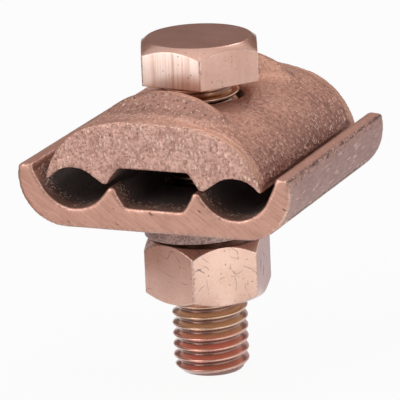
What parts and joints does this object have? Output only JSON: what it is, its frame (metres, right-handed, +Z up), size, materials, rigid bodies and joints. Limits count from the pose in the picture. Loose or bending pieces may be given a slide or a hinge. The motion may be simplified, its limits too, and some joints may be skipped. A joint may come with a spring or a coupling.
{
  "type": "cable-to-plate connector",
  "caption": "Parallel-groove clamp: a humped upper jaw and a lipped lower jaw grip cables side by side on one through bolt with a spring washer and a nut.",
  "frame": {"origin": "centre of the bolt's free end", "axes": "+Z up along the bolt, from its free end to its head; Y along the cables; X across the two cables"},
  "size_m": [0.045, 0.0406, 0.0538],
  "materials": {
    "cast_copper": "sand-cast copper alloy with a sparkling grain",
    "sawn_copper": "copper alloy, sawn on its ends and dull on its sides",
    "plated_steel": "copper-plated steel, drawn and chamfered",
    "washer_steel": "thinly copper-plated spring steel"
  },
  "bodies": {
    "bolt": {"hex_bolt": "plated_steel"},
    "washer": {"spring_washer": "washer_steel"},
    "nut": {"hex_nut": "plated_steel"},
    "lower": {"lower_jaw": "sawn_copper"},
    "upper": {"upper_jaw": "cast_copper"}
  },
  "joints": [
    {"name": "washer_travel", "type": "slide", "parent": "bolt", "child": "washer", "axis": [0, 0, 1], "range_m": [-0.0105, 0]},
    {"name": "nut_turn", "type": "hinge", "parent": "washer", "child": "nut", "pos_m": [0, 0, 0], "axis": [0, 0, 1], "range_deg": [-2161, 0]},
    {"name": "jaw_swivel", "type": "hinge", "parent": "washer", "child": "lower", "pos_m": [0, 0, 0], "axis": [0, 0, 1], "continuous": true},
    {"name": "jaw_lift", "type": "slide", "parent": "lower", "child": "upper", "axis": [0, 0, 1], "range_m": [0, 0.00225]}
  ],
  "couplings": [
    {"joint": "nut_turn", "follows": "washer_travel", "rad_per_m": 3590.4}
  ]
}
